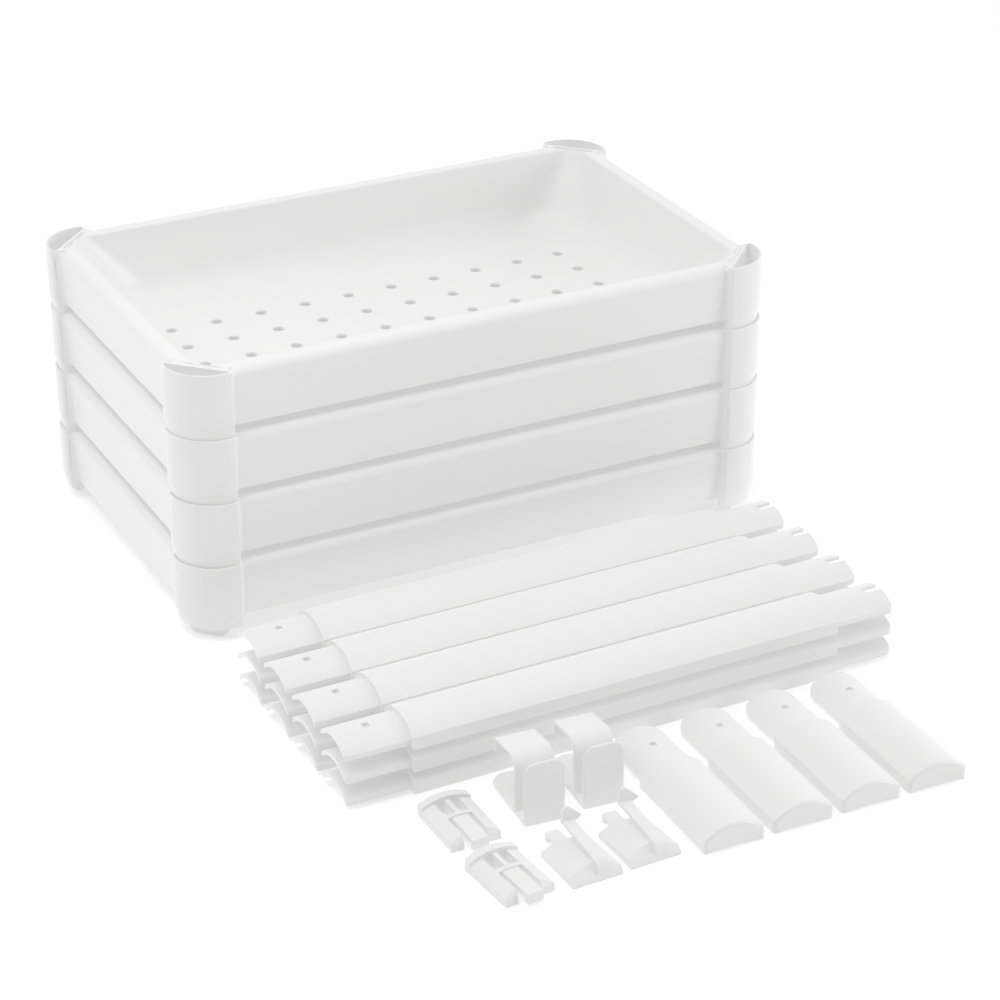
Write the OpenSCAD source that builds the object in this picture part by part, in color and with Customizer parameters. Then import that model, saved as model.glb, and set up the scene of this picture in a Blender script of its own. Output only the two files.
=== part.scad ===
// Knocked-down kit of a four-tier rack of stacking trays, all in white moulded plastic.
// The trays stand nested in a stack, the corner posts lie in front of it three deep, and
// the four feet, two rim hooks, two fork clips and two latch clips lie before the posts.
// X runs along the trays, Y runs from the small parts back to the stack, Z is up. The
// origin is the middle of the lowest tray's underside, on the ground that everything rests on.

/* [Tray] */
// Length over the corner sockets
tray_l = 600; // [480:1:720]
// Width over the corner sockets
tray_w = 383; // [320:1:460]
// Height from the underside to the top of the rim
tray_h = 75; // [65:1:100]
// Height of the apron that hangs from the rim
apron_h = 55; // [30:1:56]
// How far the apron leans in from the rim to its lower edge
apron_draft = 4; // [0:0.5:6]
// How far the corner sockets stand out past the apron
apron_step = 7.5; // [5:0.5:10]
// Width of the rim between apron and basin
rim_w = 18; // [14:0.5:24]
// Thickness of the rim where it bridges apron and basin
rim_t = 4; // [3.5:0.1:6]
// Wall thickness of apron and basin
wall = 2.4; // [1.8:0.1:3]
// Rounding of the rim's outer edge
rim_round = 7; // [3:0.5:9]
// How far each basin wall leans in from rim to floor
basin_draft = 18; // [8:1:26]
// Radius of the curve where a basin wall meets the floor
basin_cove = 28; // [10:1:34]
// Corner radius of the basin at the rim
basin_r_rim = 22; // [14:1:30]
// Corner radius of the basin at the floor
basin_r_floor = 56; // [30:1:70]

/* [Drainage] */
// Number of drainage holes along the tray
drain_cols = 10; // [6:1:12]
// Number of drainage holes across the tray
drain_rows = 5; // [3:1:5]
// Spacing of the holes along the tray
drain_pitch_x = 46.2; // [30:0.1:50]
// Spacing of the holes across the tray
drain_pitch_y = 43.3; // [30:0.1:46]
// Diameter of a drainage hole
drain_d = 11; // [4:0.5:14]
// How far the field of holes sits off the middle of the tray, to the front
drain_offset = 10; // [0:1:12]

/* [Corner sockets] */
// Outer radius of a corner, which is also the crown radius of the legs
corner_r = 41; // [36:0.5:48]
// Thickness of the lip round a socket's mouth
lip_t = 2; // [1.5:0.1:3]
// How far the lip stands above the rim
lip_rise = 1.5; // [0:0.1:3]
// How far a corner's bulge runs past the corner's centre before it steps back to the apron
corner_run = 9; // [5:0.5:12]
// Wall left between a socket's floor and the corner's outside
socket_wall = 1.7; // [1.2:0.1:3]
// Height over which the corner narrows
taper_h = 15; // [10:1:20]
// Height of the locating tongue below the corner
tongue_h = 12.4; // [8:0.1:16]
// Width of the locating tongue
tongue_w = 40; // [24:1:46]
// Thickness of the locating tongue
tongue_t = 3; // [2:0.1:5]

/* [Legs] */
// Width of a post or a foot
leg_w = 56; // [48:1:62]
// Height of a post or a foot as it lies
leg_h = 23; // [20:0.5:26]
// Wall thickness of a leg
leg_wall = 2.4; // [1.8:0.1:3]
// Depth of the hollow curve along a leg's underside
leg_sag = 2; // [1:0.1:3]
// Length of a post between its spigots
post_l = 413; // [300:1:520]
// Length of a foot without its spigot
foot_l = 110; // [80:1:160]
// Length of a spigot
spigot_l = 60; // [45:1:60]
// Width of a spigot
spigot_w = 49; // [40:0.5:52]
// Thickness of a spigot
spigot_t = 3.5; // [2.5:0.1:4.5]
// Side of the square catch hole in a spigot
catch_hole = 6; // [4:0.5:8]
// Number of hollow bays between the ribs of a post
post_bays = 7; // [4:1:10]
// Number of hollow bays between the ribs of a foot
foot_bays = 2; // [1:1:3]

/* [Rim hook] */
// Width of a rim hook
hook_w = 36; // [28:1:44]
// Height of its front plate
hook_h = 58; // [50:1:66]
// Depth of its base
hook_d = 80; // [66:1:96]
// Height of the strap at its highest
strap_h = 54; // [45:1:65]
// How far the strap's lip stands back from the front plate
strap_reach = 63; // [52:1:72]
// Gap between front plate and back plate
hook_gap = 17; // [12:1:22]
// Thickness of its walls
hook_t = 2.8; // [2:0.1:3.5]

/* [Fork clip] */
// Width of a fork clip
fork_w = 45; // [40:1:50]
// Length of a fork clip over its side legs
fork_l = 62; // [54:1:72]
// Height of its sides
fork_side = 7.5; // [6:0.5:9]
// Rise of its crown above the sides
fork_rise = 5.5; // [3:0.5:8]
// Width of its centre tongue
fork_tongue_w = 14.5; // [12:0.5:16]

/* [Latch clip] */
// Width of a latch clip
latch_w = 46; // [40:1:50]
// Length of its body
latch_l = 52.5; // [46:0.5:60]
// Height of the sides of its body at the near end
latch_side = 7; // [6:0.5:9]
// Rise of its crown above the sides
latch_rise = 6; // [4:0.5:8]
// Width of its lever
lever_w = 10.5; // [8:0.5:13]

/* [Clearances] */
// Air between pieces that rest on one another
stack_gap = 0.3; // [0.2:0.05:0.6]
// Clearance between a corner's foot and the lip of the socket below it
lip_gap = 1; // [0.8:0.1:1.5]
// Clearance all round a spigot in a socket
socket_gap = 0.3; // [0.2:0.05:0.6]
// Air between a tongue and the socket wall behind it
tongue_gap = 2; // [1.5:0.1:3]
// Air between neighbouring columns of posts
column_gap = 4; // [3:0.5:8]
// Air between the stack and the posts
stack_to_posts = 63; // [50:1:90]
// Air between the posts and the feet
posts_to_feet = 18.5; // [10:0.5:30]
// Air between the posts and the rim hooks
posts_to_hooks = 8; // [4:0.5:20]
// Air between the two rim hooks
hook_space = 19; // [8:1:30]
// Air between the rim hooks and the latch clips
hooks_to_latches = 41; // [36:1:60]
// Air between the two fork clips
fork_space = 24; // [14:1:40]
// Air between the two latch clips
latch_space = 8; // [4:1:20]
// Air between neighbouring feet
foot_gap = 9; // [6:0.5:16]

/* [Hidden] */

$fn = 64;
eps = 0.01;
hull_fn = 32;
white = [0.94, 0.94, 0.93];

// Corner of the tray: its centre, and the distance from there out to the socket's back wall
corner_x = tray_l / 2 - corner_r;
corner_y = tray_w / 2 - corner_r;
socket_back = 20.2;
diag = sqrt(2);
// How far the corner narrows towards its foot, which enters the lip of the socket below
corner_taper = lip_t + lip_gap;
// Inner face of the apron's lower edge, from the corner's centre, where the corner is rooted
corner_root = corner_r - apron_step - apron_draft - wall;
// Apron, as half sizes, and the line x + y at which its corners are cut off
apron_x = tray_l / 2 - apron_step;
apron_y = tray_w / 2 - apron_step;
cut_sum = corner_x + corner_y + diag * socket_back;
// Basin mouth, as half sizes
mouth_x = apron_x - rim_w;
mouth_y = apron_y - rim_w;
floor_t = wall;
// Socket: the spigot sets its bore, which opens out to the lip at the mouth
spigot_r = corner_r - corner_taper - socket_wall;
socket_depth = spigot_l + socket_gap;
socket_r = spigot_r + socket_gap;
socket_floor = tray_h - socket_depth;
// Stack and lift
stack_pitch = tray_h - tongue_h + stack_gap;
// Sideways place of each tray, within the play between corner foot and lip
tray_slip = [0, 0.3, 0.6, 0.3];
leg_pitch = leg_h - leg_sag + stack_gap;
column_pitch = leg_w + column_gap;
hull_levels = 5;

// Half sizes hx, hy with corners cut along a line at 45 degrees, c being each cut's leg
module cut_rectangle(hx, hy, c)
    polygon([[hx, hy - c], [hx - c, hy], [c - hx, hy], [-hx, hy - c],
             [-hx, c - hy], [c - hx, -hy], [hx - c, -hy], [hx, c - hy]]);

// Plan of the apron, moved in by some distance, and its corner cuts by another
module apron_plan(inset, cut_inset) {
    hx = apron_x - inset;
    hy = apron_y - inset;
    cut_rectangle(hx, hy, hx + hy - (cut_sum - diag * cut_inset));
}

// Thin level of the apron's plan at some height
module apron_level(inset, cut_inset, z)
    translate([0, 0, z]) linear_extrude(eps) apron_plan(inset, cut_inset);

// Rectangle with round corners, centred
module round_rectangle(l, w, r) {
    square([l - 2 * r, w], center = true);
    square([l, w - 2 * r], center = true);
    for (sx = [-1, 1], sy = [-1, 1])
        translate([sx * (l / 2 - r), sy * (w / 2 - r)]) circle(r);
}

// Solid block of the apron, leaning in towards its lower edge, with its upper edge rounded over
module apron_block()
    hull() {
        apron_level(apron_draft, 0, tray_h - apron_h);
        for (i = [0:hull_levels]) {
            a = 90 * i / hull_levels;
            inset = rim_round * (1 - cos(a));
            apron_level(inset, inset, tray_h - rim_round * (1 - sin(a)) - eps);
        }
    }

// Hollow of the apron, one wall in and parallel to its outside, from below up to the rim
module apron_hollow() {
    lean = apron_draft / (apron_h - rim_round);
    hull() {
        apron_level(apron_draft + lean + wall, wall, tray_h - apron_h - 1);
        apron_level(wall + lean * (rim_t - rim_round), wall, tray_h - rim_t - eps);
    }
}

// One level of the basin: inset from the mouth, corner radius and height
module basin_level(inset, r, z, grow, t = eps)
    translate([0, 0, z])
        linear_extrude(t)
            round_rectangle(2 * (mouth_x - inset + grow), 2 * (mouth_y - inset + grow), r + grow,
                            $fn = hull_fn);

// The basin as a solid, grown outwards by some distance
module basin_solid(grow, top) {
    depth = tray_h - floor_t;
    wall_lean = basin_draft * (depth - basin_cove) / depth;
    hull() {
        basin_level(0, basin_r_rim, tray_h, grow, top);
        for (i = [0:hull_levels]) {
            a = 90 * i / hull_levels;
            basin_level(wall_lean + (basin_draft - wall_lean) * sin(a) + basin_cove * (1 - cos(a)),
                        basin_r_floor, floor_t - grow + basin_cove * (1 - sin(a)), grow);
        }
    }
}

// Plan of a corner, whose circle ends in a step on either side, rooted in back wall and apron
module corner_plan(r) {
    far = 2 * corner_r;
    back = diag * (socket_back - wall) - corner_root;
    intersection() {
        circle(r);
        polygon([[-corner_run, far], [-corner_run, corner_root], [back, corner_root],
                 [corner_root, back], [corner_root, -corner_run], [far, -corner_run], [far, far]]);
    }
}

// Plan of a socket, inside the corner's steps and its back wall
module socket_plan(r) {
    far = 2 * corner_r;
    run = corner_run - wall;
    back = diag * socket_back + run;
    intersection() {
        circle(r);
        polygon([[-run, far], [-run, back], [back, -run], [far, -run], [far, far]]);
    }
}

// Everything solid of one corner: wall, tapered foot, closed bottom and locating tongue
module corner_solid() {
    translate([0, 0, tongue_h + taper_h])
        linear_extrude(tray_h + lip_rise - tongue_h - taper_h) corner_plan(corner_r);
    intersection() {
        translate([0, 0, tongue_h])
            cylinder(r1 = corner_r - corner_taper, r2 = corner_r, h = taper_h);
        translate([0, 0, tongue_h]) linear_extrude(taper_h) corner_plan(corner_r + 1);
    }
    rotate(45) translate([socket_back + tongue_gap, 0, 0]) tongue();
}

// Tongue with round lower corners, standing on the XY plane and rising into the corner's floor
module tongue() {
    r = tongue_h * 0.8;
    rotate([90, 0, 90])
        linear_extrude(tongue_t) {
            translate([-tongue_w / 2, r]) square([tongue_w, tongue_h - r + wall]);
            translate([-tongue_w / 2 + r, 0]) square([tongue_w - 2 * r, tongue_h]);
            for (s = [-1, 1]) translate([s * (tongue_w / 2 - r), r]) circle(r);
        }
}

// Socket in a corner: narrow at its floor, opening to the lip
module socket_cut() {
    intersection() {
        translate([0, 0, socket_floor])
            cylinder(r1 = socket_r, r2 = corner_r - lip_t, h = socket_depth + lip_rise + eps);
        translate([0, 0, socket_floor])
            linear_extrude(socket_depth + lip_rise + 1) socket_plan(corner_r);
    }
    // Lip: the rim side of the mouth stays open above the back wall
    translate([0, 0, tray_h])
        rotate(45) translate([0, -corner_r, 0]) cube([socket_back + wall, 2 * corner_r, lip_rise + 1]);
}

// Copies its children to the four corners, with the diagonal turned outwards
module at_corners()
    for (mx = [0, 1], my = [0, 1])
        mirror([mx, 0, 0]) mirror([0, my, 0]) translate([corner_x, corner_y, 0]) children();

module drain_holes()
    for (i = [0:drain_cols - 1], j = [0:drain_rows - 1])
        translate([(i - (drain_cols - 1) / 2) * drain_pitch_x,
                   (j - (drain_rows - 1) / 2) * drain_pitch_y - drain_offset, -1])
            cylinder(d = drain_d, h = floor_t + 2, $fn = 32);

// One tray, standing on its floor and tongues
module tray() {
    difference() {
        union() {
            difference() {
                apron_block();
                apron_hollow();
            }
            basin_solid(wall, eps);
            at_corners() corner_solid();
        }
        at_corners() socket_cut();
        basin_solid(0, 2);
        drain_holes();
    }
}

// Cross-section of a leg: crown of the corner's radius over upright sides, hollowed below
module leg_section() {
    hollow_r = (leg_w * leg_w / 4 + leg_sag * leg_sag) / (2 * leg_sag);
    difference() {
        intersection() {
            translate([0, leg_h - corner_r]) circle(corner_r, $fn = 96);
            translate([-leg_w / 2, 0]) square([leg_w, leg_h]);
        }
        translate([0, leg_sag - hollow_r]) circle(hollow_r, $fn = 180);
    }
}

// Hollow of a leg: the same crown, one wall thickness in
module leg_bay_section()
    intersection() {
        translate([0, leg_h - corner_r]) circle(corner_r - leg_wall, $fn = 96);
        translate([leg_wall - leg_w / 2, -1]) square([leg_w - 2 * leg_wall, leg_h]);
    }

// Cross-section of a spigot: a curved plate
module spigot_section()
    intersection() {
        translate([0, leg_h - corner_r])
            difference() {
                circle(spigot_r, $fn = 96);
                circle(spigot_r - spigot_t, $fn = 96);
            }
        translate([-spigot_w / 2, 0]) square([spigot_w, leg_h]);
    }

// Extrudes a section along +X
module along_x(l) rotate([90, 0, 90]) linear_extrude(l) children();

// Body of a leg from x = 0 to l, closed at both ends and open in bays below
module leg_body(l, bays) {
    bay = (l - leg_wall) / bays;
    difference() {
        along_x(l) leg_section();
        for (i = [0:bays - 1])
            translate([leg_wall + i * bay, 0, 0]) along_x(bay - leg_wall) leg_bay_section();
    }
}

// Spigot from x = 0 to its tip, rooted in the body's end wall
module spigot(tip_r)
    intersection() {
        translate([-leg_wall, 0, 0]) along_x(spigot_l + leg_wall) spigot_section();
        linear_extrude(leg_h)
            translate([-spigot_l / 2, 0]) round_rectangle(3 * spigot_l, spigot_w, tip_r);
    }

// Post along X, centred: catch hole at its left end, notch at its right end
module post() {
    notch_w = 8;
    notch_l = 16;
    translate([-post_l / 2, 0, 0]) {
        leg_body(post_l, post_bays);
        mirror([1, 0, 0])
            difference() {
                spigot(2);
                translate([(spigot_l - catch_hole) / 2, -catch_hole / 2, 0])
                    cube([catch_hole, catch_hole, leg_h]);
            }
        translate([post_l, 0, 0])
            difference() {
                spigot(4);
                translate([spigot_l - notch_l, -notch_w / 2, 0]) cube([notch_l + 1, notch_w, leg_h]);
            }
    }
}

// Foot along X, from its ground end at x = 0 to the spigot's tip
module foot() {
    leg_body(foot_l, foot_bays);
    translate([foot_l, 0, 0])
        difference() {
            spigot(8);
            translate([(spigot_l - catch_hole) / 2, -catch_hole / 2, 0])
                cube([catch_hole, catch_hole, leg_h]);
        }
}

// Circle through the top of a crown: half width and rise give its radius
function crown_radius(half, rise) = (half * half + rise * rise) / (2 * rise);

// Crowned cross-section of a clip
module crown_section(w, side, rise) {
    r = crown_radius(w / 2, rise);
    intersection() {
        translate([0, side + rise - r]) circle(r, $fn = 96);
        translate([-w / 2, 0]) square([w, side + rise]);
    }
}

// Extrudes a section along +Y
module along_y(l) translate([0, l, 0]) rotate([90, 0, 0]) linear_extrude(l) children();

// Points round a bend, from one angle to another
function bend_points(y, z, r, from, to, steps) =
    [for (i = [0:steps]) let (a = from + (to - from) * i / steps) [y + r * cos(a), z + r * sin(a)]];

// Rim hook: round-ended base, front plate, and a back plate that turns over into a strap
module rim_hook() {
    back_y = hook_t + hook_gap;
    bend_r = 13;
    strap_fall = 8;
    bend_z = strap_h - bend_r;
    base_r = hook_w / 2 - 1;
    top_r = 10;
    lip_h = 14;
    bend_steps = 10;
    bend_y = back_y + bend_r;
    end_z = bend_z + bend_r / cos(strap_fall) - (strap_reach - bend_y) * tan(strap_fall);
    inner_z = end_z - hook_t / cos(strap_fall) + hook_t * tan(strap_fall);
    // Base
    linear_extrude(hook_t) {
        translate([-hook_w / 2, 0]) square([hook_w, hook_d - base_r]);
        translate([base_r - hook_w / 2, 0]) square([hook_w - 2 * base_r, hook_d]);
        for (s = [-1, 1]) translate([s * (hook_w / 2 - base_r), hook_d - base_r]) circle(base_r);
    }
    // Front plate with round upper corners
    along_y(hook_t) {
        translate([-hook_w / 2, 0]) square([hook_w, hook_h - top_r]);
        translate([top_r - hook_w / 2, 0]) square([hook_w - 2 * top_r, hook_h]);
        for (s = [-1, 1]) translate([s * (hook_w / 2 - top_r), hook_h - top_r]) circle(top_r);
    }
    // Back plate, bend, strap and lip as one band
    translate([-hook_w / 2, 0, 0])
        along_x(hook_w)
            polygon(concat(
                [[back_y + hook_t, 0], [back_y, 0]],
                bend_points(bend_y, bend_z, bend_r, 180, 90 - strap_fall, bend_steps),
                [[strap_reach, end_z], [strap_reach, end_z - lip_h]],
                [[strap_reach - hook_t, end_z - lip_h], [strap_reach - hook_t, inner_z]],
                bend_points(bend_y, bend_z, bend_r - hook_t, 90 - strap_fall, 180, bend_steps)));
}

// Fork clip: crowned body with two windows, side legs with bevelled tips, a raised head
// at the far end and a centre tongue that turns down at its tip
module fork_clip() {
    leg = 11.5;
    head_d = 8;
    head_rise = 3;
    bar_y = 30;
    bar_d = 4;
    rib_w = 4;
    bevel = 9;
    tip_h = fork_side * 0.8;
    tongue_out = 8;
    tongue_top = fork_side + fork_rise * 0.7;
    tongue_h2 = 4.5;
    high = fork_side + fork_rise + head_rise + 1;
    window_w = fork_w / 2 - leg - rib_w / 2;
    difference() {
        intersection() {
            along_y(fork_l) crown_section(fork_w, fork_side, fork_rise);
            translate([-fork_w / 2, 0, 0])
                along_x(fork_w)
                    polygon([[0, 0], [fork_l, 0], [fork_l, high], [bevel, high], [0, tip_h]]);
        }
        // Room for the tongue
        translate([leg - fork_w / 2, -1, -1]) cube([fork_w - 2 * leg, bar_y + 1, high + 2]);
        // Windows
        for (s = [0, 1])
            mirror([s, 0, 0])
                translate([rib_w / 2, bar_y + bar_d, -1])
                    cube([window_w, fork_l - head_d - bar_y - bar_d, high + 2]);
    }
    translate([0, fork_l - head_d, 0])
        along_y(head_d) crown_section(fork_w, fork_side + head_rise, fork_rise);
    translate([-fork_tongue_w / 2, 0, 0])
        along_x(fork_tongue_w) {
            translate([-tongue_out, tongue_top - tongue_h2])
                square([bar_y + tongue_out + 1, tongue_h2]);
            translate([-tongue_out, tongue_top - 9]) square([4, 9]);
        }
}

// Latch clip: crowned body that falls towards the far end, a sprung lever that rises over
// it from the near end to a thumb pad, and a hooked tab beyond the far end
module latch_clip() {
    fall = atan(3 / latch_l);
    crown = latch_side + latch_rise;
    lever_x = 6.2;
    lever_t = 3.2;
    lever_end = latch_l + 10;
    lever_rate = 0.12;
    root_y = 10;
    root_top = crown + 2.8;
    end_top = root_top + lever_rate * (lever_end - root_y);
    pad_t = 3;
    pad_h = 12.5;
    tab_w = 12.5;
    tab_x = -2.7;
    tab_top = 7.6;
    tab_t = 3;
    tab_l = 18.5;
    hook_l = 4;
    notch_x = -4.8;
    notch_w = 3.5;
    difference() {
        intersection() {
            translate([0, 0, -2]) rotate([-fall, 0, 0])
                along_y(latch_l + 2) crown_section(latch_w, latch_side + 2, latch_rise);
            translate([-latch_w / 2, 0, 0])
                along_x(latch_w)
                    polygon([[0, 0], [latch_l, 0], [latch_l, crown + 1], [13, crown + 1],
                             [9, crown - 1.5], [5, crown - 5], [2.2, crown - 8], [0.5, 3]]);
        }
        translate([notch_x - notch_w / 2, -1, crown * 0.7]) cube([notch_w, 6, crown]);
    }
    // Lever, from its rounded root to its end
    translate([lever_x - lever_w / 2, 0, 0])
        along_x(lever_w)
            polygon([[1.2, 2], [1.2, root_top - 7.5], [2.6, root_top - 4], [5.5, root_top - 1.3],
                     [root_y, root_top], [lever_end, end_top], [lever_end, end_top - lever_t],
                     [root_y + 6, root_top + lever_rate * 6 - lever_t], [root_y, crown - 4], [6, 2]]);
    // Thumb pad: upright fin that runs down to one side
    translate([lever_x - lever_w / 2, lever_end - pad_t, end_top])
        along_y(pad_t)
            polygon([[0, -lever_t], [0, pad_h - 3.5], [2.6, pad_h], [6.4, pad_h - 1.2],
                     [lever_w + 7.5, 0.6], [lever_w + 5, -1.4], [lever_w, -lever_t]]);
    // Tab, turned down at its end
    translate([tab_x - tab_w / 2, 0, 0])
        along_x(tab_w) {
            translate([latch_l - 3, tab_top - tab_t]) square([tab_l + 3, tab_t]);
            translate([latch_l + tab_l - hook_l, 0.5]) square([hook_l, tab_top - 0.5]);
        }
}

// Layout on the ground, worked from the stack towards the front
stack_front = -tray_w / 2;
column_1_y = stack_front - stack_to_posts - leg_w / 2;
column_4_y = column_1_y - 3 * column_pitch;
posts_front = column_4_y - leg_w / 2;
post_x = -19;
post_turn = 0.5;
foot_y = posts_front - posts_to_feet - foot_l - spigot_l;
foot_pitch = leg_w + foot_gap;
foot_1_x = -29.5;
foot_turn = 1.3;
hook_y = posts_front - posts_to_hooks - hook_d;
hook_pitch = hook_w + hook_space;
fork_1_y = hook_y - 4.3;
fork_2_y = fork_1_y - fork_l - fork_space;
latch_y = hook_y - hooks_to_latches - latch_l;
latch_pitch = latch_w + latch_space;

module place(x, y, z, turn = 0) translate([x, y, z]) rotate(turn) color(white) children();

module tray_at(tier) place(tray_slip[tier], 0, tier * stack_pitch) tray();
module post_at(column, layer)
    place(post_x, column_1_y - column * column_pitch, layer * leg_pitch, post_turn) post();
module foot_at(i) place(foot_1_x + i * foot_pitch, foot_y, 0, 90 - foot_turn) foot();
module hook_at(i) place(-149 + i * hook_pitch, hook_y + i, 0, -4) rim_hook();
module latch_at(i) place(-150.5 + i * latch_pitch, latch_y + 3 * i, 0, 1.5) latch_clip();

tray_at(0);  // tray_1
tray_at(1);  // tray_2
tray_at(2);  // tray_3
tray_at(3);  // tray_4
post_at(0, 0);  // post_1_low
post_at(0, 1);  // post_1_mid
post_at(0, 2);  // post_1_top
post_at(1, 0);  // post_2_low
post_at(1, 1);  // post_2_mid
post_at(1, 2);  // post_2_top
post_at(2, 0);  // post_3_low
post_at(2, 1);  // post_3_mid
post_at(2, 2);  // post_3_top
post_at(3, 0);  // post_4_low
post_at(3, 1);  // post_4_mid
post_at(3, 2);  // post_4_top
foot_at(0);  // foot_1
foot_at(1);  // foot_2
foot_at(2);  // foot_3
foot_at(3);  // foot_4
hook_at(0);  // rim_hook_1
hook_at(1);  // rim_hook_2
place(-213, fork_1_y, 0, 0.6) fork_clip();  // fork_clip_1
place(-209, fork_2_y, 0, 5) fork_clip();  // fork_clip_2
latch_at(0);  // latch_clip_1
latch_at(1);  // latch_clip_2
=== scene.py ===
import math

import bmesh
import bpy
from mathutils import Matrix, Vector


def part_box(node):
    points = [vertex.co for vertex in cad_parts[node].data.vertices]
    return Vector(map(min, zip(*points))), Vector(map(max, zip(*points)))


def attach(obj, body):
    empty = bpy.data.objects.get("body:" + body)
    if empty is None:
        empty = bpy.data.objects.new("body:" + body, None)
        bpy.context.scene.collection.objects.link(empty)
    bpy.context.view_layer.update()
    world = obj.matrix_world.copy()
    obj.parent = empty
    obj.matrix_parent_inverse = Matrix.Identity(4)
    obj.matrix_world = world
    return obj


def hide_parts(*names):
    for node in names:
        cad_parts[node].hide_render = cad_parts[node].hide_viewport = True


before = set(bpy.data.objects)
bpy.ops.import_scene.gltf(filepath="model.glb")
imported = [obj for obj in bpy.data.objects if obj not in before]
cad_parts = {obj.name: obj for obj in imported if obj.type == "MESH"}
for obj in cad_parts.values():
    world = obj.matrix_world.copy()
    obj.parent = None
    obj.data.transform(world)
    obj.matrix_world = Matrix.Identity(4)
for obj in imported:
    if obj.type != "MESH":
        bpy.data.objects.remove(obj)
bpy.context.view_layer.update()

# White walls light it from every side but low at the front left, and four soft boxes help from above,
# from either side and close to the near corner. The camera looks down from the front left, through a
# long lens.
studio_floor_mesh = bpy.data.meshes.new("studio_floor")
floor_half = 9.0
floor_z = -0.0004
studio_floor_mesh.from_pydata(
    [(-floor_half, -floor_half, floor_z), (floor_half, -floor_half, floor_z),
     (floor_half, floor_half, floor_z), (-floor_half, floor_half, floor_z)], [], [(0, 1, 2, 3)])
studio_floor = bpy.data.objects.new("studio_floor", studio_floor_mesh)
bpy.context.scene.collection.objects.link(studio_floor)

paper = bpy.data.materials.new("studio_paper")
paper.use_nodes = True
paper_shader = paper.node_tree.nodes["Principled BSDF"]
paper_shader.inputs["Base Color"].default_value = (0.74, 0.74, 0.74, 1)
paper_shader.inputs["Roughness"].default_value = 0.9
paper_shader.inputs["Specular IOR Level"].default_value = 0.1
paper_shader.inputs["Emission Color"].default_value = (1, 1, 1, 1)
paper_shader.inputs["Emission Strength"].default_value = 0.32
studio_floor_mesh.materials.append(paper)

# White walls all round, with a dim gap low down towards the front left
studio_air = bpy.data.worlds.new("studio_air")
studio_air.use_nodes = True
air_nodes, air_links = studio_air.node_tree.nodes, studio_air.node_tree.links
direction = air_nodes.new("ShaderNodeTexCoord")
towards_gap = air_nodes.new("ShaderNodeVectorMath")
towards_gap.operation = "DOT_PRODUCT"
towards_gap.inputs[1].default_value = (-0.42, -0.91, -0.1)
air_links.new(direction.outputs["Generated"], towards_gap.inputs[0])
gap_shade = air_nodes.new("ShaderNodeMapRange")
gap_shade.interpolation_type = "SMOOTHSTEP"
gap_shade.inputs["From Min"].default_value = 0.12
gap_shade.inputs["From Max"].default_value = 0.95
gap_shade.inputs["To Min"].default_value = 0.91
gap_shade.inputs["To Max"].default_value = 0.05
air_links.new(towards_gap.outputs["Value"], gap_shade.inputs["Value"])
air_links.new(gap_shade.outputs["Result"], air_nodes["Background"].inputs["Strength"])
air_nodes["Background"].inputs["Color"].default_value = (1, 1, 1, 1)
bpy.context.scene.world = studio_air
bpy.context.scene.view_settings.view_transform = "Standard"

def soft_box(name, place, look_at, size, watts):
    lamp = bpy.data.lights.new(name, "AREA")
    lamp.shape = "SQUARE"
    lamp.size = size
    lamp.energy = watts
    lamp_object = bpy.data.objects.new(name, lamp)
    lamp_object.location = place
    lamp_object.rotation_euler = (Vector(look_at) - Vector(place)).to_track_quat("-Z", "Y").to_euler()
    bpy.context.scene.collection.objects.link(lamp_object)

soft_box("top_light", place=(-0.9, -0.5, 2.9), look_at=(0, -0.1, 0.1), size=2.4, watts=23)
soft_box("right_fill", place=(2.6, -2.2, 1.1), look_at=(0.2, -0.2, 0.1), size=1.4, watts=30)
soft_box("key_left", place=(-3.0, 0.5, 2.3), look_at=(0, -0.1, 0.1), size=1.6, watts=7)
soft_box("near_corner_light", place=(-0.5, -0.45, 0.95), look_at=(0.15, 0.1, 0.2), size=0.5, watts=1.5)

camera_data = bpy.data.cameras.new("view_front_left")
camera_data.lens = 105.43
camera_data.sensor_width = 36
camera_data.clip_end = 60
camera = bpy.data.objects.new("view_front_left", camera_data)
camera_place = (-1.0798, -2.3435, 1.3196)
camera_turn = math.radians(-26.79)
camera_tilt = math.radians(62.81)
camera_roll = -0.004
camera.matrix_world = (Matrix.Translation(camera_place)
                       @ Matrix.Rotation(camera_turn, 4, "Z")
                       @ Matrix.Rotation(camera_tilt, 4, "X")
                       @ Matrix.Rotation(camera_roll, 4, "Z"))
bpy.context.scene.collection.objects.link(camera)
bpy.context.scene.camera = camera

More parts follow.
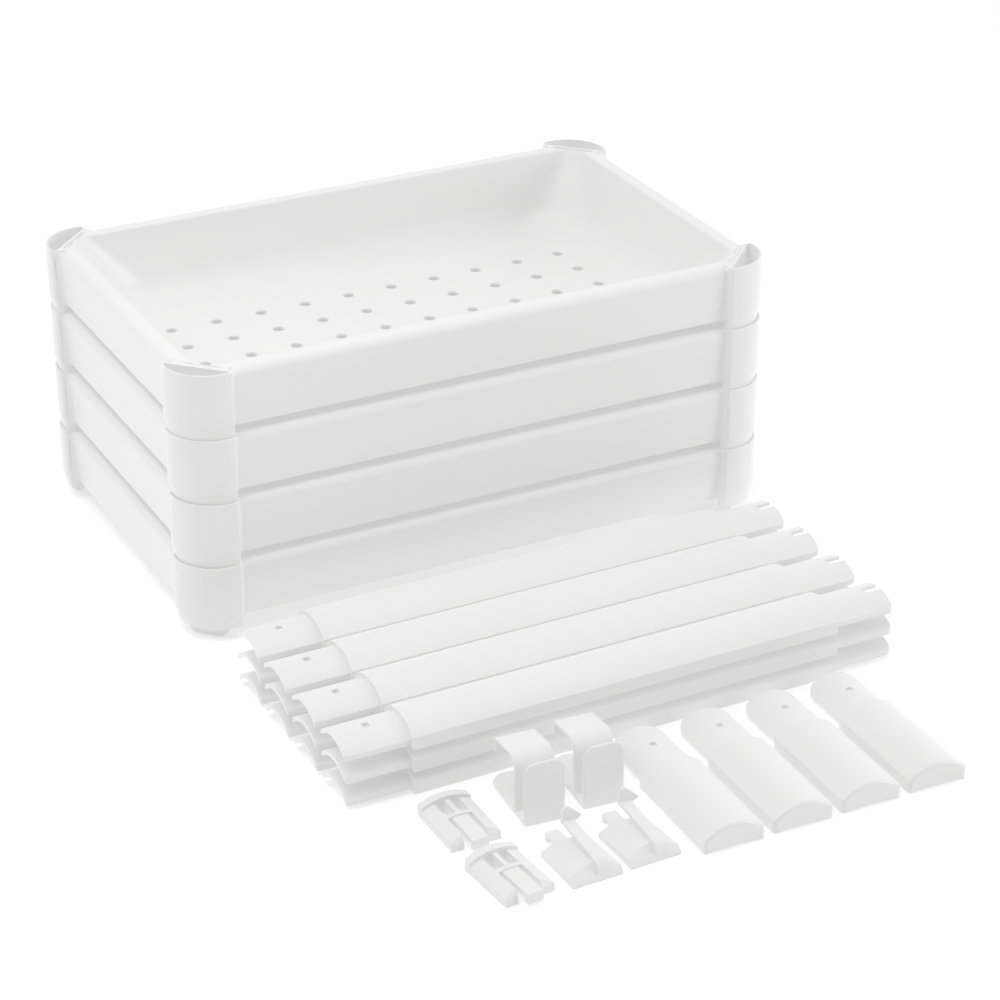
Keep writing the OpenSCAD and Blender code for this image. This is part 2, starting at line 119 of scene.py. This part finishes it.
# White plastic, injection moulded: the trays come out of polished moulds, so they are smooth, with a
# satin gloss, faint flow clouding and a very fine skin. The small clips have a drier, matter skin.
def moulded_plastic(name, white, smoothest, roughest, skin):
    plastic = bpy.data.materials.new(name)
    plastic.use_nodes = True
    nodes, links = plastic.node_tree.nodes, plastic.node_tree.links
    shader = nodes["Principled BSDF"]
    shader.inputs["IOR"].default_value = 1.49
    # Painted glow: an even emission stands in for light that comes through the thin walls, so that hollows
    # and gaps stay bright
    shader.inputs["Emission Color"].default_value = (1, 1, 1, 1)
    shader.inputs["Emission Strength"].default_value = 0.29
    where = nodes.new("ShaderNodeTexCoord")
    # Flow clouding: broad, barely visible shifts of tone and gloss
    cloud = nodes.new("ShaderNodeTexNoise")
    cloud.inputs["Scale"].default_value = 9.0
    cloud.inputs["Detail"].default_value = 3.0
    links.new(where.outputs["Object"], cloud.inputs["Vector"])
    tone = nodes.new("ShaderNodeValToRGB")
    tone.color_ramp.elements[0].position = 0.3
    tone.color_ramp.elements[0].color = (white * 0.985, white * 0.985, white * 0.98, 1)
    tone.color_ramp.elements[1].position = 0.7
    tone.color_ramp.elements[1].color = (white, white, white * 0.998, 1)
    links.new(cloud.outputs["Fac"], tone.inputs["Fac"])
    links.new(tone.outputs["Color"], shader.inputs["Base Color"])
    gloss = nodes.new("ShaderNodeMapRange")
    gloss.inputs["To Min"].default_value = smoothest
    gloss.inputs["To Max"].default_value = roughest
    links.new(cloud.outputs["Fac"], gloss.inputs["Value"])
    links.new(gloss.outputs["Result"], shader.inputs["Roughness"])
    # Skin: the fine texture that the mould leaves
    grain = nodes.new("ShaderNodeTexNoise")
    grain.inputs["Scale"].default_value = 900.0
    grain.inputs["Detail"].default_value = 2.0
    links.new(where.outputs["Object"], grain.inputs["Vector"])
    bump = nodes.new("ShaderNodeBump")
    bump.inputs["Strength"].default_value = skin
    bump.inputs["Distance"].default_value = 0.0002
    links.new(grain.outputs["Fac"], bump.inputs["Height"])
    links.new(bump.outputs["Normal"], shader.inputs["Normal"])
    return plastic

tray_white = moulded_plastic("tray_white", white=0.48, smoothest=0.32, roughest=0.42, skin=0.05)
leg_white = moulded_plastic("leg_white", white=0.47, smoothest=0.30, roughest=0.40, skin=0.05)
clip_white = moulded_plastic("clip_white", white=0.47, smoothest=0.42, roughest=0.52, skin=0.08)

# The four trays, each one shot of polypropylene: a drained basin whose walls lean in and curve into the
# floor, a wide rim with a rounded outer edge, an apron hanging from it, and at each corner a socket
# behind a slanting wall, whose foot carries a tongue that drops into the socket of the tray below.
MM = 0.001

def mesh_from(shape, name):
    mesh = bpy.data.meshes.new(name)
    shape.to_mesh(mesh)
    shape.free()
    return mesh

def add_skin(shape, rings):
    """Adds a closed skin through a row of rings that all have the same number of points."""
    rows = [[shape.verts.new(point) for point in ring] for ring in rings]
    count = len(rows[0])
    for near, far in zip(rows, rows[1:]):
        for i in range(count):
            j = (i + 1) % count
            shape.faces.new((near[i], near[j], far[j], far[i]))
    shape.faces.new(list(reversed(rows[0])))
    shape.faces.new(rows[-1])

def skin_between(rings):
    """One closed mesh through a row of rings."""
    shape = bmesh.new()
    add_skin(shape, rings)
    bmesh.ops.recalc_face_normals(shape, faces=shape.faces)
    return mesh_from(shape, "moulding")

def make_piece(name, mesh):
    piece = bpy.data.objects.new(name, mesh)
    bpy.context.scene.collection.objects.link(piece)
    return piece

def set_modifiers(piece):
    """Applies the piece's modifiers to its mesh."""
    bpy.context.view_layer.update()
    done = bpy.data.meshes.new_from_object(piece.evaluated_get(bpy.context.evaluated_depsgraph_get()))
    piece.modifiers.clear()
    piece.data = done

def cut_away(piece, cutter):
    tool = piece.modifiers.new("cut", "BOOLEAN")
    tool.operation = "DIFFERENCE"
    tool.solver = "EXACT"
    tool.object = cutter
    set_modifiers(piece)
    bpy.data.objects.remove(cutter)

def smooth_skin(piece, crease=32):
    """Smooth shading that keeps flats flat and breaks at real edges."""
    piece.data.shade_smooth()
    piece.data.set_sharp_from_angle(angle=math.radians(crease))
    even = piece.modifiers.new("even", "WEIGHTED_NORMAL")
    even.keep_sharp = True
    even.weight = 80
    set_modifiers(piece)

def join_pieces(name, pieces):
    """Gathers several meshes into one object."""
    shape = bmesh.new()
    for piece in pieces:
        part = piece.data.copy()
        part.transform(piece.matrix_world)
        shape.from_mesh(part)
        bpy.data.meshes.remove(part)
        bpy.data.objects.remove(piece)
    return make_piece(name, mesh_from(shape, name))

tray_low, tray_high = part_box("tray_1")
tray_half_x = (tray_high.x - tray_low.x) / 2
tray_half_y = (tray_high.y - tray_low.y) / 2
lip_rise = 1.5 * MM
rim_z = tray_high.z - tray_low.z - lip_rise
bulge_out = 7.5 * MM
apron_x = tray_half_x - bulge_out
apron_y = tray_half_y - bulge_out
apron_h = 55 * MM
apron_z = rim_z - apron_h
apron_draft = 4 * MM
tray_wall = 2.4 * MM
rim_t = 4 * MM
rim_under = rim_z - rim_t
rim_round = 7 * MM
rim_w = 18 * MM
mouth_x = apron_x - rim_w
mouth_y = apron_y - rim_w
corner_r = 41 * MM
corner_x = tray_half_x - corner_r
corner_y = tray_half_y - corner_r
slant_wall_at = 20.2 * MM
quadrant_points = 16
tongue_h = 12.4 * MM

def four_quadrants(quarter, z):
    """A ring of points from the ones in its first quarter."""
    ring = [(x, y) for x, y in quarter]
    ring += [(-x, y) for x, y in reversed(quarter)]
    ring += [(-x, -y) for x, y in quarter]
    ring += [(x, -y) for x, y in reversed(quarter)]
    return [Vector((x, y, z)) for x, y in ring]

def apron_lean(z):
    """How far the apron leans in at some height below its rounded edge."""
    full = rim_z - rim_round
    return apron_draft * max(0, (full - z) / (full - apron_z))

def apron_ring(inset, z, turn=5 * MM):
    """Plan of the apron, moved in: a rectangle with slanting corners and rounded turns."""
    behind_wall = 0.4 * MM
    x, y = apron_x - inset - apron_lean(z), apron_y - inset - apron_lean(z)
    slant = corner_x + corner_y + math.sqrt(2) * (slant_wall_at - behind_wall - inset)
    leg = x + y - slant
    step = turn * math.tan(math.radians(22.5))
    quarter = []
    half = quadrant_points // 2
    for i in range(half):
        a = math.radians(45 * i / (half - 1))
        quarter.append((x - turn + turn * math.cos(a), y - leg - step + turn * math.sin(a)))
    for i in range(half):
        a = math.radians(45 + 45 * i / (half - 1))
        quarter.append((x - leg - step + turn * math.cos(a), y - turn + turn * math.sin(a)))
    return four_quadrants(quarter, z)

def basin_ring(inset, turn, z):
    """Plan of the basin at one level: a rectangle with round corners."""
    x, y = mouth_x - inset, mouth_y - inset
    quarter = []
    for i in range(quadrant_points):
        a = math.radians(90 * i / (quadrant_points - 1))
        quarter.append((x - turn + turn * math.cos(a), y - turn + turn * math.sin(a)))
    return four_quadrants(quarter, z)

basin_draft = 18 * MM
basin_cove = 28 * MM
mouth_turn = 22 * MM
floor_turn = 56 * MM
basin_depth = rim_z - tray_wall
wall_lean = basin_draft * (basin_depth - basin_cove) / basin_depth

def basin_wall(grow, top_z):
    """Rings from the floor's edge up to the rim, on the inside or, grown, on the outside."""
    rings = []
    cove_steps = 9
    for i in range(cove_steps, -1, -1):
        a = math.radians(90 * i / cove_steps)
        inset = (wall_lean + (basin_draft - wall_lean) * math.sin(a)
                 + basin_cove * (1 - math.cos(a)) - grow)
        rings.append(basin_ring(inset, floor_turn + grow,
                                tray_wall - grow + basin_cove * (1 - math.sin(a))))
    foot_z = tray_wall - grow + basin_cove
    for share in (0.33, 0.66, 1.0):
        z = foot_z + (top_z - foot_z) * share
        full = (z - foot_z) / (rim_z - foot_z)
        rings.append(basin_ring(wall_lean * (1 - full) - grow,
                                floor_turn + (mouth_turn - floor_turn) * full + grow, z))
    return rings

def tray_body_rings():
    """Up the basin's wall, over the rim, down the apron, and back up inside to the basin's outside."""
    edge = 1.8 * MM
    rings = basin_wall(0, rim_z - edge)
    for degrees in (60, 30, 0):
        a = math.radians(degrees)
        rings.append(basin_ring(-edge * (1 - math.sin(a)), mouth_turn + edge,
                                rim_z - edge + edge * math.cos(a)))
    round_steps = 8
    for i in range(round_steps + 1):
        a = math.radians(90 - 90 * i / round_steps)
        rings.append(apron_ring(rim_round * (1 - math.cos(a)), rim_z - rim_round * (1 - math.sin(a))))
    hem = 0.7 * MM
    rings.append(apron_ring(0, apron_z + hem))
    rings.append(apron_ring(hem * 0.3, apron_z + hem * 0.3))
    rings.append(apron_ring(hem, apron_z))
    rings.append(apron_ring(tray_wall - hem * 0.7, apron_z))
    rings.append(apron_ring(tray_wall, apron_z + hem * 0.7))
    apron_fillet = 3 * MM
    rings.append(apron_ring(tray_wall, rim_under - apron_fillet))
    rings.append(apron_ring(tray_wall + apron_fillet, rim_under))
    fillet_w, fillet_h = 2 * MM, 1.5 * MM
    outside = list(reversed(basin_wall(tray_wall, rim_under - fillet_h)))
    rings.append(basin_ring(-tray_wall - fillet_w, mouth_turn + tray_wall, rim_under))
    return rings + outside

def drain_cutter():
    """All the drainage holes as one set of plugs, each flared where it meets the floor's top."""
    columns, rows, sides = 10, 5, 28
    pitch_x, pitch_y, towards_front = 46.2, 43.3, 10
    hole_r, flare = 5.5 * MM, 0.7 * MM
    below, above = -3 * MM, tray_wall + 2 * MM
    levels = ((hole_r, below), (hole_r, tray_wall - flare), (hole_r + flare, tray_wall),
              (hole_r + flare, above))
    shape = bmesh.new()
    for column in range(columns):
        for row in range(rows):
            x = (column - (columns - 1) / 2) * pitch_x * MM
            y = ((row - (rows - 1) / 2) * pitch_y - towards_front) * MM
            add_skin(shape, [[(x + r * math.cos(2 * math.pi * i / sides),
                               y + r * math.sin(2 * math.pi * i / sides), z) for i in range(sides)]
                             for r, z in levels])
    return make_piece("drain_plugs", mesh_from(shape, "drain_plugs"))

def corner_ring(radius, run, wall_at, face, flare, height):
    """A ring round a corner: its arc, a rounded step at either end that flares into the apron's
    face, and back along the slanting wall."""
    full_soft, soft_loss = 3.5 * MM, 0.4
    sunk, wall_min = 0.2 * MM, 0.5 * MM
    soft = full_soft - (corner_r - radius) * soft_loss
    step = math.asin((run - soft) / (radius - soft))
    turn = Vector((-(run - soft), (radius - soft) * math.cos(step)))
    half = []
    arc_points, turn_points, flare_points = 12, 6, 5
    for i in range(arc_points):
        a = math.radians(45) + (math.radians(45) + step) * i / arc_points
        half.append((radius * math.cos(a), radius * math.sin(a)))
    for i in range(turn_points):
        a = math.radians(90) + step + (math.radians(90) - step) * i / (turn_points - 1)
        half.append((turn.x + soft * math.cos(a), turn.y + soft * math.sin(a)))
    for i in range(flare_points):
        a = math.radians(90 * i / (flare_points - 1))
        half.append((-run - flare * (1 - math.cos(a)), face + flare * (1 - math.sin(a))))
    root = face - sunk
    half.append((-run - flare, root))
    slant = math.sqrt(2) * wall_at
    half.append((max(slant - root, -run + wall_min), min(root, slant + run - wall_min)))
    outline = [(y, x) for x, y in reversed(half[1:])] + half
    last = len(outline) - 1
    ring = []
    for i, (x, y) in enumerate(outline):
        from_end = min(i, last - i) / last
        ring.append(Vector(((x + y) / math.sqrt(2), (y - x) / math.sqrt(2), height(from_end))))
    return ring

def corner_socket():
    """Bulge, slanting wall, closed socket and tapered foot of one corner, along its own diagonal."""
    wall_back = 17.4 * MM
    foot_z, taper = tongue_h, 15 * MM
    foot_r = 38 * MM
    lip, soft = 2 * MM, 0.8 * MM
    run = 9 * MM
    socket_z, socket_r = 14.7 * MM, 36.6 * MM
    apron_face = corner_r - bulge_out
    full_flare, foot_flare = 4 * MM, 0.2 * MM
    rim_ridge = 0.12 * MM
    lip_from, lip_run = 0.08, 0.12
    taper_shares = (0.05, 0.25, 0.48, 0.56, 0.75, 1)
    rim_drops = (7, 5, 3.2, 1.8, 0.8, 0.2)
    def outer(radius, z, inset=0):
        under_rim = max(0, z - (rim_z - rim_round)) / rim_round
        rolled = rim_round * (1 - math.sqrt(1 - min(under_rim, 1) ** 2))
        flare = full_flare if z > apron_z + soft else foot_flare
        return corner_ring(radius, run - inset, wall_back + inset, apron_face - apron_lean(z) - rolled,
                           flare, lambda from_end: z)
    def lip_top(drop):
        def height(from_end):
            up = min(max(from_end - lip_from, 0) / lip_run, 1.0)
            return rim_z + rim_ridge + (lip_rise - rim_ridge) * up * up * (3 - 2 * up) - drop
        return height
    def mouth(inset, wall_inset, drop):
        return corner_ring(corner_r - inset, run - inset, wall_back + wall_inset, apron_face - rim_round,
                           full_flare, lip_top(drop))
    def inner(radius, inset, height):
        socket_run = run - inset
        return corner_ring(radius, socket_run, slant_wall_at, math.sqrt(2) * slant_wall_at + socket_run,
                           0, height)
    rings = [outer(foot_r - soft, foot_z, soft),
             outer(foot_r - soft * 0.3, foot_z + soft * 0.3, soft * 0.3)]
    for share in taper_shares:
        rings.append(outer(foot_r + (corner_r - foot_r) * share, foot_z + taper * share))
    for drop in rim_drops:
        rings.append(outer(corner_r, rim_z - drop * MM))
    rings += [mouth(0, 0, soft), mouth(soft * 0.3, soft * 0.3, soft * 0.3), mouth(soft, soft, 0),
              inner(corner_r - lip + soft * 0.6, lip, lip_top(0)),
              inner(corner_r - lip, lip + 0.2 * MM, lip_top(soft * 0.4)),
              inner(corner_r - lip - 0.1 * MM, tray_wall, lip_top(soft * 1.5)),
              inner(socket_r, tray_wall, lambda from_end: socket_z)]
    return make_piece("corner", skin_between(rings))

def corner_tongue():
    """The flat tongue below a corner, with its lower corners rounded."""
    width, depth, thick = 40 * MM, tongue_h, 3 * MM
    round_r = 9.9 * MM
    round_steps = 8
    outline = [(width / 2, depth + tray_wall)]
    for i in range(round_steps + 1):
        a = math.radians(-90 * i / round_steps)
        outline.append((width / 2 - round_r + round_r * math.cos(a), round_r + round_r * math.sin(a)))
    outline += [(-y, z) for y, z in reversed(outline)]
    soft = 0.5 * MM
    middle = depth / 2 + tray_wall / 2
    def ring(u, inset):
        ky = 1 - 2 * inset / width
        kz = 1 - 2 * inset / (depth + tray_wall)
        return [Vector((u, y * ky, middle + (z - middle) * kz)) for y, z in outline]
    tongue_gap = 2 * MM
    start = slant_wall_at + tongue_gap
    rings = [ring(start, soft), ring(start + soft, 0), ring(start + thick - soft, 0),
             ring(start + thick, soft)]
    return make_piece("tongue", skin_between(rings))

def build_tray():
    body = make_piece("tray_body", skin_between(tray_body_rings()))
    cut_away(body, drain_cutter())
    parts = [body]
    for mirror_x in (1, -1):
        for mirror_y in (1, -1):
            for part in (corner_socket(), corner_tongue()):
                part.data.transform(Matrix.Diagonal((mirror_x, mirror_y, 1, 1))
                                    @ Matrix.Translation((corner_x, corner_y, 0))
                                    @ Matrix.Rotation(math.radians(45), 4, "Z"))
                if mirror_x * mirror_y < 0:
                    part.data.flip_normals()
                parts.append(part)
    whole = join_pieces("tray_pattern", parts)
    smooth_skin(whole)
    whole.data.materials.append(tray_white)
    return whole

tray_pattern = build_tray()
for tier in range(1, 5):
    node = "tray_%d" % tier
    low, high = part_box(node)
    tray_mesh = tray_pattern.data.copy()
    tray_mesh.transform(Matrix.Translation(((low.x + high.x) / 2, (low.y + high.y) / 2, low.z)))
    tray = make_piece(node + "_shell", tray_mesh)
    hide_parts(node)
    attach(tray, node)
bpy.data.objects.remove(tray_pattern)

# The twelve corner posts, long crescent mouldings of the same plastic, each with a spigot at either
# end that pushes into a tray's corner socket. They lie hollow side down in four columns, three deep.
def soften_end(piece, edge):
    """Rolls the crown over where it meets the closed end that faces the front."""
    end_reach, crown_from = 3 * MM, 8 * MM
    marked = piece.data.attributes.new("bevel_weight_edge", "FLOAT", "EDGE")
    shape = bmesh.new()
    shape.from_mesh(piece.data)
    shape.edges.ensure_lookup_table()
    front = min(vertex.co.y for vertex in shape.verts) + end_reach
    picked = []
    for line in shape.edges:
        if len(line.link_faces) == 2 and all(vertex.co.y < front for vertex in line.verts):
            ends = [face for face in line.link_faces if face.normal.y < -0.98]
            sides = [face for face in line.link_faces if abs(face.normal.y) < 0.1 and face.normal.z > -0.05]
            if ends and sides and max(vertex.co.z for vertex in line.verts) > crown_from:
                picked.append(line.index)
    shape.free()
    for index in picked:
        marked.data[index].value = 1.0
    roll = piece.modifiers.new("end_roll", "BEVEL")
    roll.width = edge
    roll.segments = 6
    roll.limit_method = "WEIGHT"
    set_modifiers(piece)

def moulded_copy(node, edge, end_edge=0):
    """The node's shape with the small radius on every edge that a mould gives."""
    weld, flat_degrees, edge_degrees, crease = 0.02 * MM, 0.6, 28, 40
    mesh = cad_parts[node].data.copy()
    shape = bmesh.new()
    shape.from_mesh(mesh)
    bmesh.ops.remove_doubles(shape, verts=shape.verts, dist=weld)
    bmesh.ops.dissolve_limit(shape, angle_limit=math.radians(flat_degrees), verts=shape.verts,
                             edges=shape.edges)
    shape.to_mesh(mesh)
    shape.free()
    piece = make_piece(node + "_moulding", mesh)
    mesh.materials.clear()
    if end_edge:
        soften_end(piece, end_edge)
    radius = piece.modifiers.new("mould_radius", "BEVEL")
    radius.width = edge
    radius.segments = 3
    radius.limit_method = "ANGLE"
    radius.angle_limit = math.radians(edge_degrees)
    radius.use_clamp_overlap = True
    radius.harden_normals = False
    set_modifiers(piece)
    smooth_skin(piece, crease)
    return piece

def finish_piece(piece, node, plastic):
    piece.data.materials.append(plastic)
    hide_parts(node)
    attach(piece, node)

for column in range(1, 5):
    for layer in ("low", "mid", "top"):
        node = "post_%d_%s" % (column, layer)
        finish_piece(moulded_copy(node, 0.9 * MM), node, leg_white)

# The four feet, moulded in the same white plastic as the posts and with the same section cut short:
# closed at the ground end, with one spigot that pushes up into a corner socket of the lowest tray.
for number in range(1, 5):
    node = "foot_%d" % number
    finish_piece(moulded_copy(node, 0.7 * MM, 3.5 * MM), node, leg_white)

# Two rim hooks, each one moulding in the drier white plastic of the clips: a base, a front plate and a
# springy back plate that turns over into a strap. They push over a tray's rim and clasp it.
for number in range(1, 3):
    node = "rim_hook_%d" % number
    finish_piece(moulded_copy(node, 1.1 * MM), node, clip_white)

# Two fork clips, each one moulding in the drier white plastic: a crowned body with a raised head and
# two windows, two legs and a springy centre tongue. They are loose parts that snap on, with no screws.
for number in range(1, 3):
    node = "fork_clip_%d" % number
    finish_piece(moulded_copy(node, 1.3 * MM), node, clip_white)

# Two latch clips, each one moulding in the drier white plastic: a crowned body, a sprung lever with a
# thumb pad, and a hooked tab. They are loose parts that snap on, and the lever lets go of them.
for number in range(1, 3):
    node = "latch_clip_%d" % number
    finish_piece(moulded_copy(node, 1.2 * MM), node, clip_white)
